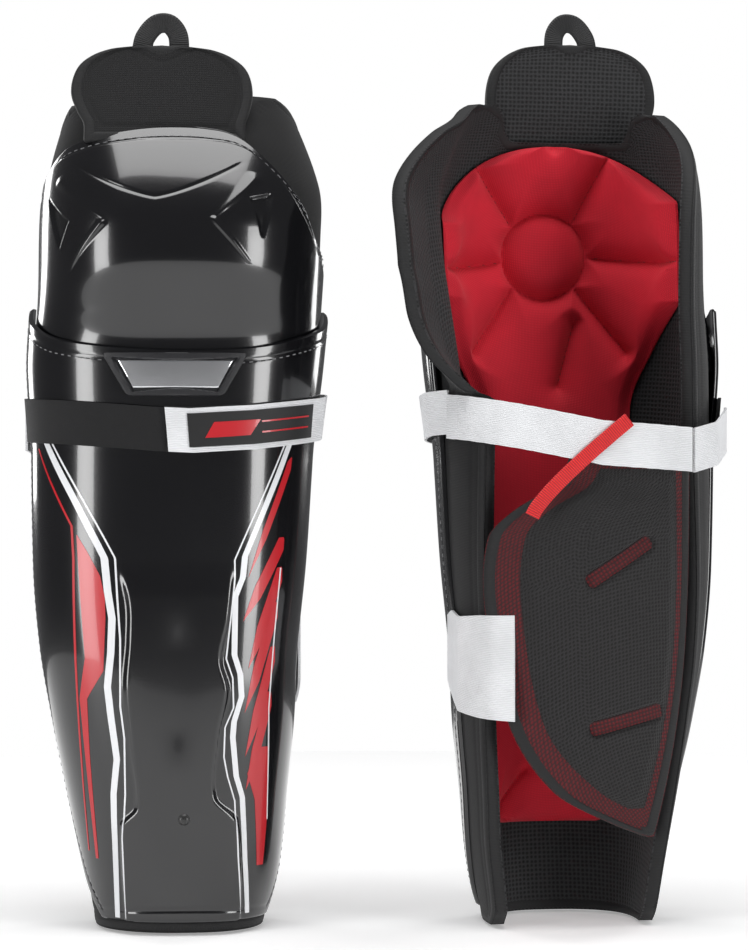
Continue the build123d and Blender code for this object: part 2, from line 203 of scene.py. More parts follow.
def sweep(path, across, up, profile, closed=False):
    """A profile of (across, up) points carried along a path."""
    path, across, up = (np.asarray(p, float) for p in (path, across, up))
    profile = np.asarray(profile, float)
    count, sides = len(path), len(profile)
    corners = path[:, None] + across[:, None] * profile[None, :, :1] + up[:, None] * profile[None, :, 1:]
    index = np.arange(count * sides).reshape(count, sides)
    beyond = np.roll(index, -1, 0) if closed else index[1:]
    here = index if closed else index[:-1]
    faces = np.stack([here, np.roll(here, -1, 1), np.roll(beyond, -1, 1), beyond], -1).reshape(-1, 4).tolist()
    if not closed:
        faces += [index[0][::-1].tolist(), index[-1].tolist()]
    run = np.concatenate([[0], np.cumsum(np.linalg.norm(np.diff(path, axis=0), axis=1))])
    round_it = np.concatenate([[0], np.cumsum(np.linalg.norm(np.diff(profile, axis=0), axis=1))])
    flat = np.stack(np.broadcast_arrays(round_it[None, :], run[:, None]), -1).reshape(-1, 2)
    return corners.reshape(-1, 3), faces, flat


def joined(parts):
    """Several meshes as one."""
    corners, faces, flats, start = [], [], [], 0
    for c, f, uv in parts:
        corners.append(c)
        faces += [[int(i) + start for i in face] for face in f]
        flats.append(uv)
        start += len(c)
    return np.concatenate(corners), faces, np.concatenate(flats)


def unit(vectors):
    return vectors / np.maximum(np.linalg.norm(vectors, axis=-1, keepdims=True), 1e-9)


def smooth_path(points, count):
    """A smooth line through control points, evenly divided."""
    points = np.asarray(points, float)
    place = np.concatenate([[0], np.cumsum(np.linalg.norm(np.diff(points, axis=0), axis=1))])
    fine = np.linspace(0, place[-1], 12 * count)
    dense = np.stack([at(list(zip(place, points[:, k])), fine) for k in range(points.shape[1])], -1)
    run = np.concatenate([[0], np.cumsum(np.linalg.norm(np.diff(dense, axis=0), axis=1))])
    even = np.linspace(0, run[-1], count)
    return np.stack([np.interp(even, run, dense[:, k]) for k in range(points.shape[1])], -1)


def oval(half_across, half_up, sides=12, power=2.6):
    turn = np.linspace(0, 2 * np.pi, sides, endpoint=False)
    c, s = np.cos(turn), np.sin(turn)
    return np.stack([half_across * np.sign(c) * np.abs(c) ** (2 / power),
                     half_up * np.sign(s) * np.abs(s) ** (2 / power)], -1)


def rim_loop(points):
    """The edge of a grid as one closed line, with its directions inwards and along."""
    loop = np.concatenate([points[0], points[1:, -1], points[-1, -2::-1], points[-2:0:-1, 0]])
    inner = np.concatenate([points[2], points[1:, -3], points[-3, -2::-1], points[-2:0:-1, 2]])
    return loop, unit(inner - loop)


def tape(points, middle, width, thickness, count=420):
    """Binding folded over the edge of a grid. Middle is the same grid at half the cloth's thickness."""
    line, inward = rim_loop(middle)
    outer_face, _ = rim_loop(points)
    away = unit(outer_face - line)
    packed = np.concatenate([line, inward, away], 1)
    ring = np.concatenate([packed, packed[:1]])
    run = np.concatenate([[0], np.cumsum(np.linalg.norm(np.diff(ring[:, :3], axis=0), axis=1))])
    even = np.linspace(0, run[-1], count, endpoint=False)
    packed = np.stack([np.interp(even, run, ring[:, k]) for k in range(9)], -1)
    for _ in range(6):
        packed = (np.roll(packed, 1, 0) + 2 * packed + np.roll(packed, -1, 0)) / 4
    line, inward, away = packed[:, :3], unit(packed[:, 3:6]), unit(packed[:, 6:])
    centre = line + inward * (width / 2 - 0.6)
    profile = oval(width / 2, thickness / 2, 14, 3.2)
    return sweep(centre, inward, -away, profile, closed=True)


def stitches(line, normal, length=3.2, gap=1.6, radius=0.34, lift=0.1):
    """A run of thread: short rounded stitches along a line that lies on a surface."""
    line, normal = np.asarray(line, float), np.asarray(normal, float)
    run = np.concatenate([[0], np.cumsum(np.linalg.norm(np.diff(line, axis=0), axis=1))])
    starts = np.arange(gap, run[-1] - length, length + gap)
    share = np.array([0.0, 0.14, 0.5, 0.86, 1.0])
    size = np.array([0.25, 0.85, 1.0, 0.85, 0.25])
    parts = []
    for start in starts:
        where = start + share * length
        path = np.stack([np.interp(where, run, line[:, k]) for k in range(3)], -1)
        up = unit(np.stack([np.interp(where, run, normal[:, k]) for k in range(3)], -1))
        heading = unit(np.gradient(path, axis=0))
        across = unit(np.cross(heading, up))
        path = path + up * (lift + radius * (size[:, None] - 0.6))
        c, f, uv = sweep(path, across * size[:, None], up * size[:, None], oval(radius, radius, 6, 2))
        parts.append((c, f, uv))
    return joined(parts)


# ---------------------------------------------------------------- materials
def material(name, color, roughness=0.5, metallic=0.0, coat=0.0, sheen=0.0):
    made = bpy.data.materials.new(name)
    made.use_nodes = True
    shader = made.node_tree.nodes["Principled BSDF"]
    shader.inputs["Base Color"].default_value = (*color, 1)
    shader.inputs["Roughness"].default_value = roughness
    shader.inputs["Metallic"].default_value = metallic
    shader.inputs["Coat Weight"].default_value = coat
    shader.inputs["Coat Roughness"].default_value = 0.06
    shader.inputs["Sheen Weight"].default_value = sheen
    shader.inputs["Sheen Roughness"].default_value = 0.5
    return made


def add(made, kind, **inputs):
    node = made.node_tree.nodes.new("ShaderNode" + kind)
    for name, value in inputs.items():
        node.inputs[name.replace("_", " ")].default_value = value
    return node


def link(made, source, target):
    made.node_tree.links.new(source, target)


def mixed(made, share, low, high):
    """A colour that goes from low to high with share."""
    ramp = add(made, "ValToRGB")
    ramp.color_ramp.elements[0].color = (*low, 1)
    ramp.color_ramp.elements[1].color = (*high, 1)
    link(made, share, ramp.inputs["Fac"])
    return ramp


def moulded(name, color, roughness, coat, wear=0.06, grain=0.02):
    """Moulded plastic, with faint flow marks and finger wear."""
    made = material(name, color, roughness, coat=coat)
    shader = made.node_tree.nodes["Principled BSDF"]
    where = add(made, "TexCoord")
    cloud = add(made, "TexNoise", Scale=9.0, Detail=4.0)
    link(made, where.outputs["Object"], cloud.inputs["Vector"])
    spread = add(made, "MapRange", To_Min=roughness - wear / 2, To_Max=roughness + wear)
    link(made, cloud.outputs["Fac"], spread.inputs["Value"])
    link(made, spread.outputs["Result"], shader.inputs["Roughness"])
    fine = add(made, "TexNoise", Scale=700.0, Detail=2.0)
    link(made, where.outputs["Object"], fine.inputs["Vector"])
    bump = add(made, "Bump", Strength=grain, Distance=0.0004)
    link(made, fine.outputs["Fac"], bump.inputs["Height"])
    link(made, bump.outputs["Normal"], shader.inputs["Normal"])
    tint = mixed(made, cloud.outputs["Fac"], [c * 0.8 for c in color], [c * 1.25 + 0.002 for c in color])
    link(made, tint.outputs["Color"], shader.inputs["Base Color"])
    return made


def woven(name, color, kind="weave", pitch=1.0, depth=0.35, roughness=0.85, sheen=0.25, contrast=0.5,
          under=None):
    """Cloth. Pitch is the repeat in millimetres, and kind is weave, knit, rib or pile."""
    made = material(name, color, roughness, sheen=sheen)
    shader = made.node_tree.nodes["Principled BSDF"]
    where = made.node_tree.nodes.new("ShaderNodeUVMap")
    where.uv_map = "cloth"
    low = under or [c * (1 - contrast) for c in color]
    if kind == "pile":
        height = add(made, "TexNoise", Scale=1 / pitch, Detail=3.0, Roughness=0.7)
        link(made, where.outputs["UV"], height.inputs["Vector"])
        height = height.outputs["Fac"]
    elif kind == "knit":
        holes = add(made, "TexVoronoi", Scale=1 / pitch, Randomness=0.12)
        link(made, where.outputs["UV"], holes.inputs["Vector"])
        edge = add(made, "MapRange", From_Min=0.18, From_Max=0.5)
        link(made, holes.outputs["Distance"], edge.inputs["Value"])
        height = edge.outputs["Result"]
    else:
        waves = []
        for direction in ("X", "Y") if kind == "weave" else ("Y",):
            wave = made.node_tree.nodes.new("ShaderNodeTexWave")
            wave.bands_direction = direction
            wave.inputs["Scale"].default_value = 0.314 / pitch
            wave.inputs["Distortion"].default_value = 0.15
            link(made, where.outputs["UV"], wave.inputs["Vector"])
            waves.append(wave.outputs["Fac"])
        height = waves[0]
        if kind == "weave":
            both = made.node_tree.nodes.new("ShaderNodeMath")
            both.operation = "MULTIPLY"
            link(made, waves[0], both.inputs[0])
            link(made, waves[1], both.inputs[1])
            height = both.outputs["Value"]
    tint = mixed(made, height, low, color)
    uneven = add(made, "TexNoise", Scale=0.035, Detail=3.0)
    link(made, where.outputs["UV"], uneven.inputs["Vector"])
    shade = add(made, "MapRange", To_Min=0.8, To_Max=1.15)
    link(made, uneven.outputs["Fac"], shade.inputs["Value"])
    worn = made.node_tree.nodes.new("ShaderNodeVectorMath")
    worn.operation = "SCALE"
    link(made, tint.outputs["Color"], worn.inputs[0])
    link(made, shade.outputs["Result"], worn.inputs["Scale"])
    link(made, worn.outputs["Vector"], shader.inputs["Base Color"])
    bump = add(made, "Bump", Strength=depth, Distance=0.0005)
    link(made, height, bump.inputs["Height"])
    link(made, bump.outputs["Normal"], shader.inputs["Normal"])
    return made


BLACK = (0.004, 0.004, 0.005)
SHELL = moulded("gloss shell", BLACK, 0.16, 0.7)
BEZEL = moulded("satin bezel", (0.014, 0.014, 0.016), 0.42, 0.1, grain=0.2)
PLATE = moulded("chrome plate", (0.82, 0.83, 0.85), 0.24, 0.2)
PLATE.node_tree.nodes["Principled BSDF"].inputs["Metallic"].default_value = 1.0
WHITE_INK = moulded("white print", (0.82, 0.83, 0.85), 0.3, 0.3)
RED_INK = moulded("red print", (0.52, 0.012, 0.02), 0.28, 0.4)
RIVET = moulded("rivet", (0.02, 0.02, 0.02), 0.35, 0.2)
PALE_THREAD = woven("pale thread", (0.30, 0.30, 0.31), "rib", 0.5)
RED_THREAD = woven("red thread", (0.30, 0.008, 0.014), "rib", 0.5)
FOAM_CLOTH = woven("liner cloth", (0.010, 0.010, 0.011), "weave", 0.9, sheen=0.03)
LINER_MESH = woven("liner spacer mesh", (0.030, 0.030, 0.032), "knit", 2.6, 0.7, sheen=0.04,
                   under=(0.003, 0.003, 0.003))
TAPE_CLOTH = woven("binding tape", (0.009, 0.009, 0.010), "rib", 0.9, 0.3, 0.7, sheen=0.03)
COMFORT = woven("red comfort cloth", (0.80, 0.003, 0.026), "weave", 1.0, 0.3, 0.8, 0.08, 0.3)
FLAP_CLOTH = woven("flap cloth", (0.010, 0.010, 0.011), "weave", 1.3, 0.5, sheen=0.03)
RIBBON = woven("ribbon", (0.010, 0.010, 0.011), "rib", 1.1, 0.5, 0.6, sheen=0.05)
CALF_MESH = woven("calf wrap mesh", (0.020, 0.019, 0.020), "knit", 2.2, 0.8, sheen=0.04,
                  under=(0.003, 0.002, 0.002))
CALF_RED = woven("calf wrap mesh over red", (0.035, 0.007, 0.009), "knit", 2.2, 0.7, sheen=0.04,
                 under=(0.13, 0.004, 0.007))
PILE = woven("loop pile", (0.010, 0.010, 0.011), "pile", 0.7, 0.9, 0.95, 0.12)
ELASTIC = woven("white elastic", (0.86, 0.87, 0.89), "rib", 1.0, 0.5, 0.7, 0.1, 0.14)
LABEL = woven("strap label", (0.010, 0.010, 0.011), "weave", 0.6, 0.2, 0.55, sheen=0.03)
WEBBING = woven("red webbing", (0.86, 0.012, 0.015), "rib", 1.3, 0.6, 0.6, 0.1)


# ---------------------------------------------------------------- placing
SHARP_EDGE = math.radians(50)


def placement(guard):
    """The guard's own frame in the row frame, from its thigh flap's joint."""
    joint = next(j for j in frame["joints"] if j["name"] == guard + "_thigh_flap_tilt")
    x_axis = Vector(joint["axis"]).normalized()
    turn = Matrix((x_axis, Vector((0, 0, 1)).cross(x_axis), Vector((0, 0, 1)))).transposed()
    return Matrix.Translation(Vector(joint["pos_m"]) - turn @ (Vector(TILT_PIVOT) * MM)) @ turn.to_4x4()


def place(piece, shape, look, slot, body="", stands_for=(), hinge=None, fill=None):
    """Makes the piece on both guards. Shape is a mesh, or a function of the guard that gives one.
    Hinge is (body beyond, start, end), for cloth that would bend across a joint; a piece given one is only
    baked into the row frame and left unattached, and the three values are not used."""
    for guard in ("guard_a", "guard_b"):
        corners, faces, flat = shape(guard) if callable(shape) else shape
        faces = [[int(i) for i in face] for face in faces]
        where = placement(guard)
        data = bpy.data.meshes.new(f"{guard}.{piece}")
        data.from_pydata((np.asarray(corners) * MM).tolist(), [], faces)
        layer = data.uv_layers.new(name="cloth")
        loops = np.zeros(len(data.loops), np.int32)
        data.loops.foreach_get("vertex_index", loops)
        layer.data.foreach_set("uv", np.asarray(flat, np.float32)[loops].ravel())
        data.transform(where)
        data.polygons.foreach_set("use_smooth", [True] * len(data.polygons))
        data.set_sharp_from_angle(angle=SHARP_EDGE)
        data.materials.append(look)
        data.update()
        thing = bpy.data.objects.new(f"{guard}.{piece}", data)
        bpy.context.scene.collection.objects.link(thing)
        home = f"{guard}_{body}" if body else guard
        if hinge:
            beyond, start, end = hinge
            beyond = f"{guard}_{beyond}" if beyond else guard
            start, end = where @ (Vector(start) * MM), where @ (Vector(end) * MM)
            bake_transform(thing)
        else:
            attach(thing, home)
        if stands_for:
            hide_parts(*[f"{guard}_{node}" for node in stands_for])


# ---------------------------------------------------------------- shin shell
SHELL_RIM = ((-95, 358), (-75, 347), (-59, 339), (-35, 334), (0, 332), (35, 334), (60, 341), (78, 348),
             (95, 357))
PANEL_LEFT = ((0, -40), (62, -41), (72, -33), (105, -35), (140, -37), (168, -35), (190, -35), (215, -40))
PANEL_RIGHT = ((0, 30), (64, 25), (78, 12), (111, 13), (139, 18), (156, 14), (179, 18), (215, 21))
PANEL_RISE = 1.8
PRINT_RISE, PRINT_FOOT = 0.22, 0.3
PRINT_RADIUS = 62.0


def shell_sides():
    """The direction of the shell's two back edges, by height."""
    return (lambda z: angle_at(z, at(SHELL_BACK_LATERAL, z), -1),
            lambda z: angle_at(z, at(SHELL_BACK_MEDIAL, z), 1))


def shell_face(angle, z):
    """How far the shell's outer face stands off the wall, with its raised centre panel."""
    panel = step(angle, at(PANEL_LEFT, z) - 1.5, at(PANEL_LEFT, z) + 1.5)
    panel = panel * step(-angle, -at(PANEL_RIGHT, z) - 1.5, -at(PANEL_RIGHT, z) + 1.5)
    panel = panel * step(-z, -212, -192)
    dish = 0.6 * np.exp(-(((angle + 10) / 9) ** 2)) * step(z, 90, 120) * step(-z, -190, -160)
    return GAP + at(SHELL_LIP, z) + SHELL_T + PANEL_RISE * panel - dish * panel


def shin_shell():
    left, right = shell_sides()
    angle, z = net(left, right, lambda a: SHELL_BOTTOM + 0 * a, lambda a: at(SHELL_RIM, a), 200, 300)
    outer = surface(angle, z, shell_face(angle, z))
    distance = edge_distance(outer)
    groove = 0.5 * np.exp(-(((distance - 7.5) / 1.0) ** 2))
    outer = surface(angle, z, shell_face(angle, z) - rounding(distance, 1.6) - groove)
    inner = surface(angle, z, GAP + at(SHELL_LIP, z))
    place("shell", slab(outer, inner), SHELL, "shell", stands_for=["shin_shell"])
    edges = [(angle[4:-4, 8], z[4:-4, 8]), (angle[-9, 8:-8], z[-9, 8:-8]), (angle[4:-4, -9], z[4:-4, -9])]
    runs = []
    for a, height in edges:
        line = surface(a, height, shell_face(a, height) - 0.25)
        runs.append(stitches(line, outward(a, height), 2.6, 2.2, 0.3))
    place("shell.stitches", joined(runs), PALE_THREAD, "shell")


def printed(left_rail, right_rail, rows=160, columns=7):
    """A printed area on the shell between two rails of (height, angle) stations."""
    low = max(left_rail[0][0], right_rail[0][0])
    high = min(left_rail[-1][0], right_rail[-1][0])
    z = np.linspace(low, high, rows)[:, None] + np.zeros(columns)
    share = np.linspace(0, 1, columns)
    angle = straight(left_rail, z) * (1 - share) + straight(right_rail, z) * share
    face = shell_face(angle, z)
    return slab(surface(angle, z, face + PRINT_RISE), surface(angle, z, face - PRINT_FOOT))


def line_rails(stations, width):
    """Rails a width apart, in millimetres, either side of a printed line."""
    spread = math.degrees(width / 2 / PRINT_RADIUS)
    return [(z, a - spread) for z, a in stations], [(z, a + spread) for z, a in stations]


def shell_print():
    white, red = [], []
    thick_left = ((9, -46), (66, -45), (80, -44.5), (100, -42), (124, -44), (141, -45), (160, -43),
                  (180, -42), (195, -43.5), (214, -44.5), (247, -56), (279, -68))
    thin_left = ((9, -40), (55, -40.5), (80, -38.5), (112, -38), (130, -39.5), (168, -38.7), (191, -39.5),
                 (214, -40), (247, -52.5), (279, -64.8))
    thick_right = ((11, 35), (42, 31), (78, 28), (90, 24), (112, 21.5), (121, 22), (135, 26), (148, 25),
                   (159, 21.5), (192, 21.5), (203, 25.5), (215, 26.5), (248, 39), (280, 51.4))
    thin_right = ((11, 29.5), (42, 26), (76, 23.5), (90, 19), (101, 16.7), (118, 17), (129, 21.6),
                  (146, 20.8), (157, 17), (180, 19.2), (203, 21.2), (213, 21.1), (246, 34.5), (279, 48.2))
    thin_edge = ((64, 45.7), (128, 42.8), (208, 47))
    for stations, width in ((thick_left, 3.4), (thin_left, 0.9), (thick_right, 3.4), (thin_right, 0.9),
                            (thin_edge, 0.9)):
        white.append(printed(*line_rails(stations, width), rows=240, columns=5))
    red_left = ((46, -63.7), (64, -62.4), (100, -60.4), (146, -58.7), (213, -57.2), (232, -57.5),
                (276, -73.5))
    red.append(printed(*line_rails(red_left, 1.0), rows=200, columns=5))
    panel_out = ((42, -58.4), (100, -58), (134, -58), (157, -54.2), (227, -55.6))
    panel_in = ((42, -56.5), (100, -55.5), (134, -54.5), (150, -46.5), (180, -44.8), (192, -44.8),
                (204, -46.5), (218, -51.6), (227, -55.4))
    red.append(printed(panel_out, panel_in, columns=14))
    slashes = (((203, 28.5), (271, 52.5), 4.5), ((178, 26), (225, 48.5), 7.0),
               ((151, 29.5), (208, 47.8), 8.0), ((126, 28), (188, 46), 8.0),
               ((101, 29), (163, 45.5), 8.0), ((82, 30), (137, 43.8), 8.0))
    for (z0, a0), (z1, a1), width in slashes:
        share = np.linspace(0, 1, 60)
        body = np.minimum(share / 0.35, 1) * np.minimum((1 - share) / 0.08 + 0.15, 1)
        height = z0 + (z1 - z0) * share
        centre = a0 + (a1 - a0) * share
        spread = body * width
        rows = np.linspace(-0.5, 0.5, 7)
        z = height[:, None] - spread[:, None] * rows
        angle = centre[:, None] + spread[:, None] * rows * 0.45
        face = shell_face(angle, z)
        red.append(slab(surface(angle, z, face + 0.2)[:, ::-1], surface(angle, z, face - 0.3)[:, ::-1]))
    block_left = ((38, 39.5), (76, 36), (91, 30.6), (106, 36))
    block_right = ((38, 44.5), (64, 45.4), (106, 43.3))
    red.append(printed(block_left, block_right, columns=12))
    place("shell.print.white", joined(white), WHITE_INK, "shell")
    place("shell.print.red", joined(red), RED_INK, "shell")


def rivet():
    angle = np.array([RIVET_ANGLE])
    radii = np.array([0.0, 1.2, 2.2, 2.7, 3.0, 3.3, 3.35])
    rise = np.array([1.3, 1.25, 0.95, 0.5, 0.6, 0.35, -0.4])
    normal = outward(angle, RIVET_Z)[0]
    centre = surface(angle, RIVET_Z, shell_face(angle, RIVET_Z))[0]
    side = unit(np.cross(normal, [0, 0, 1.0]))
    up = np.cross(side, normal)
    turn = np.linspace(0, 2 * np.pi, 32, endpoint=False)
    rings = [centre + radius * (np.cos(turn)[:, None] * side + np.sin(turn)[:, None] * up) + height * normal
             for radius, height in zip(np.maximum(radii, 0.02), rise)]
    corners = np.concatenate(rings)
    index = np.arange(len(corners)).reshape(len(radii), -1)
    faces = np.stack([index[:-1], index[1:], np.roll(index[1:], -1, 1), np.roll(index[:-1], -1, 1)], -1)
    faces = faces.reshape(-1, 4).tolist() + [index[0].tolist(), index[-1][::-1].tolist()]
    place("rivet", (corners, faces, corners[:, [0, 2]]), RIVET, "rivet", stands_for=["shell_rivet"])


# ---------------------------------------------------------------- knee cap
CAP_ARCH = ((-95, 380), (-87, 392), (-82, 424), (-62, 446), (-45, 453), (-27, 457), (-6, 459), (22, 458),
            (36, 453), (46, 437), (55, 417), (66, 396), (95, 380))


def in_window(angle, z, corners):
    """Distance inside a three-sided window, in about millimetres, and negative outside it."""
    inside = np.full(np.shape(z), 99.0)
    for k in range(3):
        (a0, z0), (a1, z1) = corners[k], corners[(k + 1) % 3]
        ax, bx, px = a0 * 1.2, a1 * 1.2, angle * 1.2
        length = math.hypot(bx - ax, z1 - z0)
        inside = np.minimum(inside, ((bx - ax) * (z - z0) - (z1 - z0) * (px - ax)) / length)
    return inside


CAP_BLADES = (((-29, 402), (-45, 376), 2.3, 1.5), ((16, 404), (30, 380), 2.3, 1.5),
              ((-54, 427), (-28, 404), 4.2, 1.0), ((35, 428), (15, 404), 4.2, 1.0))
CAP_WINDOWS = (((-63, 419), (-51, 388), (-45, 404)), ((31, 417), (35, 393), (41, 420)))


def cap_relief(angle, z, distance):
    brow = 416.5 + 22 * np.abs((angle + 8) / 42) ** 1.3
    crease = -0.7 * np.exp(-(((z - brow) / 0.9) ** 2)) * step(-np.abs(angle + 8), -42, -34)
    flange = -1.5 * step(-distance, -9.4, -8.4) - 0.5 * np.exp(-(((distance - 10.0) / 0.7) ** 2))
    blades = 0
    for (a0, z0), (a1, z1), wide, high in CAP_BLADES:
        run = ((angle - a0) * (a1 - a0) + (z - z0) * (z1 - z0)) / ((a1 - a0) ** 2 + (z1 - z0) ** 2)
        run = np.clip(run, 0, 1)
        away = np.hypot(angle - a0 - run * (a1 - a0), z - z0 - run * (z1 - z0))
        reach = wide * (1 - 0.8 * run)
        blades = np.maximum(blades, high * (1 - run) ** 0.4 * np.clip(1 - away / reach, 0, 1))
    windows = 0
    for corners in CAP_WINDOWS:
        windows = windows - 2.0 * step(in_window(angle, z, corners), -0.2, 1.4)
    return crease + flange + blades + windows


def knee_cap():
    angle, z = net(lambda z: angle_at(z, at(CAP_BACK_LATERAL, z), -1),
                   lambda z: angle_at(z, at(CAP_BACK_MEDIAL, z), 1),
                   lambda a: CAP_BOTTOM + 0 * a, lambda a: at(CAP_ARCH, a), 300, 260)
    bulge = at(CAP_BULGE, z)
    base = surface(angle, z, GAP + SHELL_T, bulge)
    distance = edge_distance(base)
    up = lengths(base, 0)
    from_sides = np.minimum(distance, up[-1:] - up)
    relief = cap_relief(angle, z, from_sides) * step(z, 345, 358)
    outer = surface(angle, z, GAP + SHELL_T + relief - rounding(distance, 1.4), bulge)
    inner = surface(angle, z, GAP, bulge)
    place("knee_cap", slab(outer, inner), SHELL, "shell", stands_for=["knee_cap"])
    row, column = -13, 12
    runs = []
    for a, height in ((angle[44:-13, column], z[44:-13, column]), (angle[row, 12:-12], z[row, 12:-12]),
                      (angle[44:-13, -column], z[44:-13, -column])):
        b = at(CAP_BULGE, height)
        line = surface(a, height, GAP + SHELL_T - 0.9, b)
        runs.append(stitches(line, outward(a, height, b), 2.8, 2.0, 0.3))
    place("knee_cap.stitches", joined(runs), PALE_THREAD, "shell")


# ---------------------------------------------------------------- badge
BADGE_LOW, BADGE_HIGH = 305.5, 330.0
BADGE_CORNER = 2.6
BADGE_RIM = 4.2


def badge():
    low, high = BADGE_LOW, BADGE_HIGH
    z = (low + (high - low) * np.linspace(0, 1, 60))[:, None] + np.zeros(120)
    share = (z - low) / (high - low)
    from_end = np.clip(1 - np.minimum(z - low, high - z) / BADGE_CORNER, 0, 1)
    corner = BADGE_CORNER * (1 - np.sqrt(np.clip(1 - from_end ** 2, 0, 1)))
    left = -30 - 8.5 * share + corner
    right = 17.5 + 13 * share - corner
    angle = left + (right - left) * np.linspace(0, 1, 120)
    flat = GAP + at(SHELL_LIP, z) + SHELL_T
    base = surface(angle, z, flat)
    distance = edge_distance(base)
    frame_height = 2.4 * step(-distance, -4.9, -3.9) + 0.7
    outer = surface(angle, z, flat + frame_height - rounding(distance, 0.9))
    back = surface(angle, z, flat + 0.02)
    place("badge.bezel", slab(outer, back), BEZEL, "bezel", stands_for=["badge_bezel"])
    z = (low + BADGE_RIM + (high - low - 2 * BADGE_RIM) * np.linspace(0, 1, 30))[:, None] + np.zeros(90)
    share = (z - low) / (high - low)
    left, right = -30 - 8.5 * share + 4.4, 17.5 + 13 * share - 4.4
    angle = left + (right - left) * np.linspace(0, 1, 90)
    flat = GAP + at(SHELL_LIP, z) + SHELL_T
    distance = edge_distance(surface(angle, z, flat))
    outer = surface(angle, z, flat + 1.7 - rounding(distance, 0.8))
    back = surface(angle, z, flat + 0.6)
    place("badge.plate", slab(outer, back), PLATE, "badge_chrome", stands_for=["badge_plate"])


# ---------------------------------------------------------------- liner
LINER_TOP = ((-140, 476), (-70, 474), (-62, 476), (-55, 473), (-50, 466), (-45, 459.5), (36, 459.5),
             (42, 466), (47, 475), (54, 479), (62, 479), (140, 479))
LINER_EDGE = ((0, 10), (12, 24), (60, 31), (200, 43), (300, 49), (395, 49), (425, 43), (446, 27),
              (464, 2), (480, -24))
# How far the inner wing hangs open on the undone guard, in degrees by height, and where it starts.
OPENING = {"guard_a": ((0, 0), (500, 0)),
           "guard_b": ((0, 0), (302, 0), (312, 14), (328, 34), (348, 40), (375, 33), (400, 27), (440, 24),
                       (480, 15))}
WING_EDGE = ((0, 100), (320, 100), (355, 95), (400, 86), (500, 78))
WING_RADIUS = 80.0


def liner_wall(angle, z, offset, guard):
    """The liner's wall, with the inner wing hanging open where the guard lies undone."""
    closed = surface(angle, z, offset)
    edge = at(WING_EDGE, z)
    start, ahead = surface(edge, z, 0.0), surface(edge + 0.5, z, 0.0)
    heading = np.arctan2((ahead - start)[..., 1], (ahead - start)[..., 0]) - np.radians(at(OPENING[guard], z))
    run = np.radians(np.maximum(angle - edge, 0)) * WING_RADIUS
    wing = start + np.stack([np.cos(heading) * run + np.sin(heading) * offset,
                             np.sin(heading) * run - np.cos(heading) * offset, 0 * run], -1)
    share = step(angle, edge, edge + 16) * step(at(OPENING[guard], z), 0, 6)
    return closed + share[..., None] * (wing - closed)


def liner():
    angle, z = net(lambda z: angle_at(z, at(LINER_EDGE, z), -1),
                   lambda z: angle_at(z, at(LINER_EDGE, z), 1), lambda a: 1.0 + 0 * a,
                   lambda a: straight(LINER_TOP, a), 190, 260)
    distance = edge_distance(surface(angle, z, 0.0))
    quilt = 0.35 * np.exp(-(((distance - 11) / 1.2) ** 2))

    def cloth(guard):
        return slab(liner_wall(angle, z, -quilt, guard), liner_wall(angle, z, -FOAM_T, guard))

    def leg_side(guard):
        return slab(liner_wall(angle, z, -FOAM_T - 0.15, guard), liner_wall(angle, z, -8.0, guard))

    def edge_tape(guard):
        outer, middle = liner_wall(angle, z, 0.0, guard), liner_wall(angle, z, -4.0, guard)
        return tape(outer, middle, BINDING, TAPE_THICKNESS, 900)

    place("liner", cloth, FOAM_CLOTH, "foam", stands_for=["liner_foam"], fill=0.9)
    place("liner.mesh", leg_side, LINER_MESH, "liner_mesh", stands_for=["liner_mesh"])
    place("liner.binding", edge_tape, TAPE_CLOTH, "binding", stands_for=["liner_binding"])


# ---------------------------------------------------------------- comfort pad
PAD_LOW, PAD_HIGH, PAD_SHOULDER = 54.0, 457.0, 384.0
PAD_LEFT = ((54, -30), (66, -36), (180, -40), (260, -46), (305, -46), (335, -56), (384, -72))
PAD_RIGHT = ((54, 38), (66, 43), (180, 46), (260, 44), (305, 46), (335, 60), (384, 74))
PAD_CIRCLE = (5.0, 392.0, 25.5)
PAD_SEAMS = (((50, 446), (26, 411)), ((-32, 452), (-13, 413)), ((75, 381), (31, 388)),
             ((-21, 392), (-68, 387)), ((25, 371), (49, 334)), ((-15, 372), (-44, 334)),
             ((-14, 352), (-4, 314)), ((19, 84), (36, 62)))
PAD_PUFF = 9.6


def near_line(x, z, start, end):
    (x0, z0), (x1, z1) = start, end
    run = np.clip(((x - x0) * (x1 - x0) + (z - z0) * (z1 - z0)) / ((x1 - x0) ** 2 + (z1 - z0) ** 2), 0, 1)
    return np.hypot(x - x0 - run * (x1 - x0), z - z0 - run * (z1 - z0))


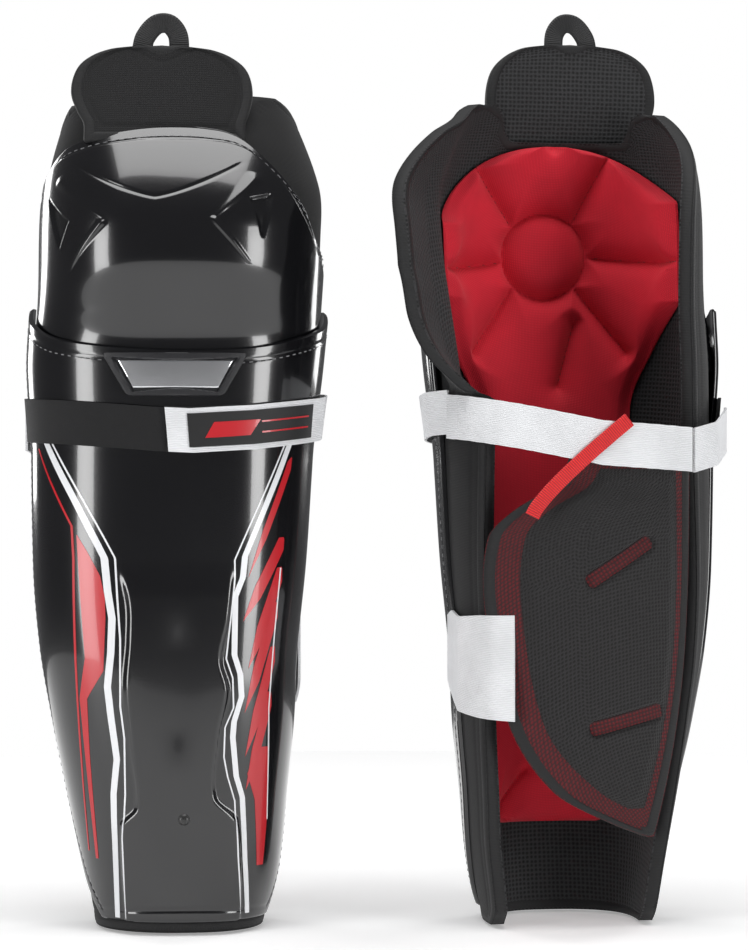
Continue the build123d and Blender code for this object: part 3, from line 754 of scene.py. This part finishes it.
def comfort_pad():
    # the rows stand closer together towards the round top
    rows, columns = 280, 150
    share = np.linspace(0, 1, rows)
    share = share + 0.192 * share ** 6 * (1 - share)
    z = (PAD_LOW + (PAD_HIGH - 0.02 - PAD_LOW) * (1 - (1 - share) ** 1.35))[:, None] + np.zeros(columns)
    top = np.clip((z - PAD_SHOULDER) / (PAD_HIGH - PAD_SHOULDER), 0, 1)
    narrowing = (1 - top ** 2.2) ** (1 / 2.2)
    foot = 7.0 * (1 - np.sqrt(1 - np.clip(1 - (z - PAD_LOW) / 8.0, 0, 1) ** 2))
    left = 1 + (at(PAD_LEFT, z) - 1) * narrowing + foot
    right = 1 + (at(PAD_RIGHT, z) - 1) * narrowing - foot
    x = left + (right - left) * np.linspace(0, 1, columns)
    angle = np.degrees(np.arctan2(x - at(RIDGE_X, z), 50.0 + 0 * z))
    for _ in range(12):
        got = surface(angle, z, -14.0)[..., 0]
        angle = angle + np.clip((x - got) * 0.9, -4, 4)
        angle = np.clip(angle, -86, 86)
    back = surface(angle, z, PAD_FACE)
    distance = edge_distance(back)
    channel = np.full(z.shape, 40.0)
    for start, end in PAD_SEAMS:
        channel = np.minimum(channel, near_line(x, z, start, end))
    circle_x, circle_z, radius = PAD_CIRCLE
    channel = np.minimum(channel, np.abs(np.hypot(x - circle_x, z - circle_z) - radius))
    crown = np.minimum(distance, channel)
    puff = PAD_PUFF * (1 - np.exp(-crown / 6.0))
    puff = puff * (0.4 + 0.6 * step(distance, 0, 7))
    inner = surface(angle, z, PAD_FACE - 1.4 - puff)
    place("comfort_pad", slab(back, inner), COMFORT, "comfort_fabric",
          stands_for=["comfort_pad", "comfort_tabs"], fill=0.7)
    runs = []
    for start, end in PAD_SEAMS:
        share = np.linspace(0, 1, 40)
        px = start[0] + (end[0] - start[0]) * share
        pz = start[1] + (end[1] - start[1]) * share
        a = np.array([angle.ravel()[np.argmin((x - i) ** 2 + (z - j) ** 2)] for i, j in zip(px, pz)])
        line = surface(a, pz, PAD_FACE - 1.5)
        runs.append(stitches(line, -outward(a, pz), 2.4, 1.4, 0.3))
    place("comfort_pad.stitches", joined(runs), RED_THREAD, "comfort_fabric")


# ---------------------------------------------------------------- thigh flap and hang loop
FLAP_SHIFT = -7.0
FLAP_STRETCH = {"guard_a": 0.90, "guard_b": 1.17}
FLAP_FOOT = 450.0
FLAP_LEFT = ((450, -47), (461, -47), (467, -50), (480, -54), (494, -51.5), (502, -45), (508, -32), (510, -16))
FLAP_RIGHT = ((450, 45), (461, 44), (467, 46), (480, 48.5), (494, 46), (502, 39), (508, 26), (510, 10))
FLAP_BINDING = 7.0
LOOP_RISE = ((-12.5, -3), (-10.5, 5), (-4, 12.5), (3, 13), (8, 7), (9, -3))


def flap_grid(guard, offset):
    """The flap's sheet, moved forward by offset. It lies flatter on one guard than on the other."""
    rows, columns = 80, 130
    v = (1 - np.cos(np.linspace(0, np.pi, rows))) / 2
    z = (FLAP_FOOT + (FLAP_TOP - FLAP_FOOT) * v)[:, None] + np.zeros(columns)
    left, right = at(FLAP_LEFT, z), at(FLAP_RIGHT, z)
    x = left + (right - left) * np.linspace(0, 1, columns)
    y = -51.5 + (z - FLAP_BOTTOM) * 0.10 + 6 * ((x + 3) / 52) ** 2 + 4
    height = FLAP_BOTTOM + (z - FLAP_BOTTOM) * np.where(z > FLAP_BOTTOM, FLAP_STRETCH[guard], 1.0)
    middle = np.stack([x + FLAP_SHIFT, y, height], -1)
    return middle - np.stack([0 * x, offset(edge_distance(middle)), 0 * x], -1)


def flap():
    def crown(distance):
        return 3.7 - rounding(distance, 3.0) * 0.6 - 0.5 * np.exp(-(((distance - 9) / 1.2) ** 2))

    def cover(guard):
        return slab(flap_grid(guard, crown), flap_grid(guard, lambda d: 0 * d - 0.4))

    def leg_side(guard):
        return slab(flap_grid(guard, lambda d: 0 * d - 0.5), flap_grid(guard, lambda d: -crown(d)))

    def edge_tape(guard):
        return tape(flap_grid(guard, crown), flap_grid(guard, lambda d: 0 * d), FLAP_BINDING, TAPE_THICKNESS)

    bend = ("thigh_flap", (0, 0, 452), (0, 0, 474))
    place("flap.cover", cover, FLAP_CLOTH, "flap_cloth", "", ["thigh_flap_cover", "thigh_flap_plate"], bend,
          fill=0.8)
    place("flap.mesh", leg_side, LINER_MESH, "liner_mesh", "", ["thigh_flap_mesh"], bend)
    place("flap.binding", edge_tape, TAPE_CLOTH, "binding", "", ["thigh_flap_binding"], bend)

    def loop(guard):
        top = FLAP_BOTTOM + (FLAP_TOP - FLAP_BOTTOM) * FLAP_STRETCH[guard]
        path = smooth_path([(FLAP_SHIFT - 2 + x, -42.6 + 0.05 * x, top + up) for x, up in LOOP_RISE], 60)
        heading = unit(np.gradient(path, axis=0))
        depth = np.tile([0, 1.0, 0], (len(path), 1))
        return sweep(path, unit(np.cross(depth, heading)), depth, oval(5.7, 0.8, 12, 4))

    place("hang_loop", loop, RIBBON, "ribbon", "hang_loop", ["hang_loop"])


# ---------------------------------------------------------------- calf wrap
WRAP_RIGHT = ((47, -54), (62, -14), (80, 20), (118, 47), (180, 61), (226, 60), (242, 46), (256, 24),
              (284, 12))
WRAP_LOW, WRAP_HIGH = 53.0, 283.5
WRAP_VENTS = ((-12, 212, -33), (-19, 122, -14))


def wrap_point(turn, z, offset):
    """A point of the wrap's curved sheet, moved off it by offset. Turn is in radians, 0 at the back."""
    across, behind = at(WRAP_HALF_WIDTH, z), at(WRAP_BULGE, z)
    x = at(WRAP_CENTRE_X, z) + across * np.sin(turn)
    y = at(WRAP_CENTRE_Y, z) + behind * np.cos(turn)
    nx, ny = np.sin(turn) / across, np.cos(turn) / behind
    length = np.hypot(nx, ny)
    return np.stack([x + nx / length * offset, y + ny / length * offset, z + 0 * turn], -1)


def wrap_net(inset, rows, columns):
    """Direction and height over the wrap, drawn in from its edge."""
    z = np.linspace(WRAP_LOW + inset * 0.9, WRAP_HIGH - inset, rows)[:, None] + np.zeros(columns)
    slope = 1.0 + 0.5 * step(-z, -120, -60)
    right = at(WRAP_RIGHT, z) - inset * slope
    right_turn = np.arcsin(np.clip((right - at(WRAP_CENTRE_X, z)) / at(WRAP_HALF_WIDTH, z), -0.98, 0.96))
    seam = 31.0 + 0.0733 * z
    behind = np.clip((seam - at(WRAP_CENTRE_Y, z)) / at(WRAP_BULGE, z), -0.4, 0.98)
    left_turn = -np.arccos(behind) + inset / 68.0
    width = np.maximum(right_turn - left_turn, 0.05)
    return left_turn + width * np.linspace(0, 1, columns), z


def vent_depth(points):
    """1 inside the two slanted vents, 0 outside them."""
    found = 0
    for x, z, tilt in WRAP_VENTS:
        c, s = math.cos(math.radians(tilt)), math.sin(math.radians(tilt))
        along = (points[..., 0] - x) * c + (points[..., 2] - z) * s
        over = (points[..., 2] - z) * c - (points[..., 0] - x) * s
        past = np.hypot(np.maximum(np.abs(along) - 18, 0), over)
        found = np.maximum(found, step(-past, -6.4, -4.0))
    return found


def calf_wrap():
    hinge = ("", (-20, 60, 170), (-62, 45, 170))
    turn, z = wrap_net(0.0, 180, 150)
    # the direction runs the other way round behind the leg, so the grids are turned over to face outwards
    outer, middle, inner = (wrap_point(turn, z, depth)[:, ::-1] for depth in (0.0, -3.2, -6.4))
    place("calf_wrap", slab(outer, inner), CALF_RED, "calf_mesh", "calf_wrap", ["calf_mesh", "calf_backing"],
          hinge, fill=0.8)
    place("calf_wrap.binding", tape(outer, middle, 9.0, 7.6, 520), TAPE_CLOTH, "binding", "calf_wrap",
          ["calf_binding"], hinge)
    turn, z = wrap_net(19.0, 240, 200)
    flat = wrap_point(turn, z, 0.0)
    distance = edge_distance(flat)
    crown = 0.15 + 2.4 * step(distance, 0, 9) + 0.5 * step(distance, 9, 30)
    crown = crown * (1 - 0.93 * vent_depth(flat))
    pad = wrap_point(turn, z, crown)[:, ::-1]
    place("calf_wrap.pad", slab(pad, wrap_point(turn, z, -1.0)[:, ::-1]), CALF_MESH, "calf_pad", "calf_wrap",
          ["calf_pad"], hinge, fill=0.9)
    vents = []
    for x, height, tilt in WRAP_VENTS:
        c, s = math.cos(math.radians(tilt)), math.sin(math.radians(tilt))
        along, over = np.meshgrid(np.linspace(-22, 22, 40), np.linspace(-4.0, 4.0, 8))
        px, pz = x + along * c - over * s, height + along * s + over * c
        t = np.arcsin(np.clip((px - at(WRAP_CENTRE_X, pz)) / at(WRAP_HALF_WIDTH, pz), -0.98, 0.98))
        vents.append(slab(wrap_point(t, pz, 0.65)[:, ::-1], wrap_point(t, pz, -0.4)[:, ::-1]))
    place("calf_wrap.vents", joined(vents), CALF_RED, "red_backing", "calf_wrap", (), hinge)


# ---------------------------------------------------------------- straps
STRAP_SAG = ((-110, 294), (-60, 291), (-20, 287), (0, 286), (30, 288), (60, 292), (95, 296), (120, 297))


def strap(path, middle, half, thickness, columns=8):
    """A flat upright strap along a plan path, with its middle height and half width given along it."""
    path = np.asarray(path, float)
    heading = np.gradient(path, axis=0)
    normal = unit(np.stack([heading[:, 1], -heading[:, 0]], -1))
    share = np.linspace(-1, 1, columns)
    z = (middle[:, None] + half[:, None] * share).T
    out = np.stack([path[:, 0] + 0 * z, path[:, 1] + 0 * z, z], -1)
    push = np.stack([normal[:, 0] + 0 * z, normal[:, 1] + 0 * z, 0 * z], -1)
    return out + push * thickness / 2, out - push * thickness / 2


def front_strap(name, low, high, inner, outer, look, slot, body, nodes, tall, hinge=None):
    """A strap that lies on the shell's front, between two heights above it and two directions."""
    angle = np.linspace(low, high, 150)[None, :] + np.zeros((14, 1))
    share = np.linspace(-1, 1, 14)[:, None]
    z = straight(STRAP_SAG, angle) + tall / 2 * share
    base = GAP + SHELL_T + at(SHELL_LIP, z)
    sheet = slab(surface(angle, z, base + outer), surface(angle, z, base + inner))
    place(name, sheet, look, slot, body, nodes, hinge)


def straps():
    front_strap("strap.band", -103, 23, 0.3, 2.0, PILE, "loop_pile", "", ["strap_band"], STRAP_H)
    front_strap("strap.tail", -13, 115, 2.9, 4.3, ELASTIC, "elastic", "strap_tail",
                ["strap_tail", "strap_hook"], STRAP_H, hinge=("calf_wrap", (83, 22, 292), (79, 34, 292)))
    front_strap("strap.label", -2, 61, 4.32, 5.0, LABEL, "label", "strap_tail", ["strap_label"], LABEL_H)
    rows = np.linspace(0, 1, 5)[:, None]
    red = []
    share = np.linspace(0, 1, 40)[None, :]
    height = at(STRAP_SAG, 9 + 22 * share) - 4.5 + 9 * rows
    slant = 9 + 22 * share + (rows - 0.5) * 5
    base = GAP + SHELL_T + at(SHELL_LIP, height)
    red.append(slab(surface(slant, height, base + 5.25), surface(slant, height, base + 4.9)))
    for lift in (-3.0, 3.0):
        a = np.linspace(34, 58, 40)[None, :] + np.zeros((3, 1))
        height = at(STRAP_SAG, a) + lift + np.linspace(-0.45, 0.45, 3)[:, None]
        base = GAP + SHELL_T + at(SHELL_LIP, height)
        red.append(slab(surface(a, height, base + 5.2), surface(a, height, base + 4.9)))
    place("strap.label.print", joined(red), RED_INK, "label", "strap_tail")
    back = smooth_path([(80, 34), (73, 53), (54, 69), (30, 76), (0, 79.5), (-30, 77.5), (-54, 68)], 110)
    middle = straight(((-95, 281), (-60, 275), (0, 279), (45, 288), (90, 296)), back[:, 0])
    outer, inner = strap(back, middle, np.full(110, STRAP_H / 2), ELASTIC_T, 16)
    ripple = 0.075 * np.sin(np.arange(110) * 0.9)[None, :, None]
    shape = slab(inner + ripple, outer + ripple)
    place("strap.elastic", shape, ELASTIC, "elastic", "calf_wrap", ["strap_elastic"],
          ("", (-8, 79, 280), (-54, 68, 280)))
    side = smooth_path([(-56, 66), (-73, 51), (-79, 42), (-85, 31), (-87.5, 22)], 50)
    middle = straight(((-95, 292), (-84, 286), (-74, 279), (-56, 275)), side[:, 0])
    outer, inner = strap(side, middle, np.full(50, STRAP_H / 2), ELASTIC_T, 12)
    place("strap.side", slab(inner, outer), ELASTIC, "elastic", "", ["strap_side"])
    side_x = float(at(MEDIAL, LOWER_STRAP_Z)) + GAP + SHELL_T + 1.2
    lean = float(at(WRAP_CENTRE_Y, LOWER_STRAP_Z) + at(WRAP_BULGE, LOWER_STRAP_Z)) - 64
    lower = smooth_path([(side_x, -4), (side_x + 0.6, 12), (side_x - 1.5, 28), (side_x - 7, 42),
                         (57.5, 53 + lean), (46, 58.5 + lean)], 60)
    tall = straight(((0, 19), (12, 24), (22, 27), (40, 29), (60, 30)), np.arange(60.0))
    middle = LOWER_STRAP_Z + straight(((0, 9), (12, 7), (22, 1), (60, 0)), np.arange(60.0))
    outer, inner = strap(lower, middle, tall, 1.5, 20)
    place("strap.lower", slab(outer[:, ::-1], inner[:, ::-1]), ELASTIC, "elastic", "lower_strap",
          ["lower_strap", "lower_strap_hook"])
    share = np.linspace(0, 1, 40)
    x = 40 - 54 * share
    z = 238 + 54 * share ** 0.8
    y = 74.5 + 7.2 * np.sin(np.pi * share * 0.55)
    path = np.stack([x, y, z], -1)
    heading = unit(np.gradient(path, axis=0))
    depth = np.tile([0, 1.0, 0], (40, 1))
    webbing = sweep(path, unit(np.cross(heading, depth)), depth, oval(4.2, 0.6, 12, 4))
    place("tether", webbing, WEBBING, "red_webbing", "calf_wrap", ["tether"])


# ---------------------------------------------------------------- studio, in metres
FLOOR_RADIUS = 1.05
MIDDLE = (0, 0, 0.26)
EYE = (0, -1.7, 0.261)


def soft_light(name, where, size, power):
    data = bpy.data.lights.new(name, "AREA")
    data.shape = "RECTANGLE"
    data.size, data.size_y = size
    data.energy = power
    lamp = bpy.data.objects.new(name, data)
    lamp.location = where
    lamp.rotation_euler = (Vector(MIDDLE) - Vector(where)).to_track_quat("-Z", "Y").to_euler()
    bpy.context.scene.collection.objects.link(lamp)


def studio():
    floor_data = bpy.data.meshes.new("floor")
    turn = np.linspace(0, 2 * np.pi, 96, endpoint=False)
    ring = [(FLOOR_RADIUS * math.cos(t), FLOOR_RADIUS * math.sin(t), 0) for t in turn]
    floor_data.from_pydata(ring, [], [list(range(len(ring)))])
    floor = bpy.data.objects.new("floor", floor_data)
    bpy.context.scene.collection.objects.link(floor)
    floor.location.z = -0.0005
    pale = material("pale floor", (0.93, 0.93, 0.93), 0.9)
    shader = pale.node_tree.nodes["Principled BSDF"]
    shader.inputs["Emission Color"].default_value = (1, 1, 1, 1)
    shader.inputs["Emission Strength"].default_value = 0.25
    floor_data.materials.append(pale)
    world = bpy.data.worlds.new("studio")
    world.use_nodes = True
    tree = world.node_tree
    backdrop = tree.nodes["Background"]
    backdrop.inputs["Color"].default_value = (1, 1, 1, 1)
    backdrop.inputs["Strength"].default_value = 1.0
    dim = tree.nodes.new("ShaderNodeBackground")
    dim.inputs["Strength"].default_value = 0.32
    rays = tree.nodes.new("ShaderNodeLightPath")
    choose = tree.nodes.new("ShaderNodeMixShader")
    tree.links.new(rays.outputs["Is Camera Ray"], choose.inputs["Fac"])
    tree.links.new(dim.outputs["Background"], choose.inputs[1])
    tree.links.new(backdrop.outputs["Background"], choose.inputs[2])
    tree.links.new(choose.outputs["Shader"], tree.nodes["World Output"].inputs["Surface"])
    dim.inputs["Color"].default_value = (0.35, 0.35, 0.36, 1)
    bpy.context.scene.world = world
    soft_light("left strip", (-1.25, -1.05, 0.2), (0.42, 1.0), 11.5)
    soft_light("right strip", (1.25, -1.05, 0.2), (0.42, 1.0), 11.5)
    soft_light("overhead", (0, -0.35, 1.9), (1.6, 1.2), 28)
    soft_light("behind left", (-1.2, 1.3, 0.7), (0.5, 1.0), 8)
    soft_light("behind right", (1.2, 1.3, 0.7), (0.5, 1.0), 8)
    bpy.context.scene.view_settings.view_transform = "Standard"


def camera():
    data = bpy.data.cameras.new("camera")
    data.sensor_fit = "VERTICAL"
    data.sensor_height = 24.0
    data.lens = 73.4
    data.dof.use_dof = False
    eye = bpy.data.objects.new("camera", data)
    eye.location = EYE
    eye.rotation_euler = (math.radians(90), 0, 0)
    bpy.context.scene.collection.objects.link(eye)
    bpy.context.scene.camera = eye


camera()
studio()
shin_shell()
shell_print()
rivet()
knee_cap()
badge()
liner()
comfort_pad()
flap()
calf_wrap()
straps()
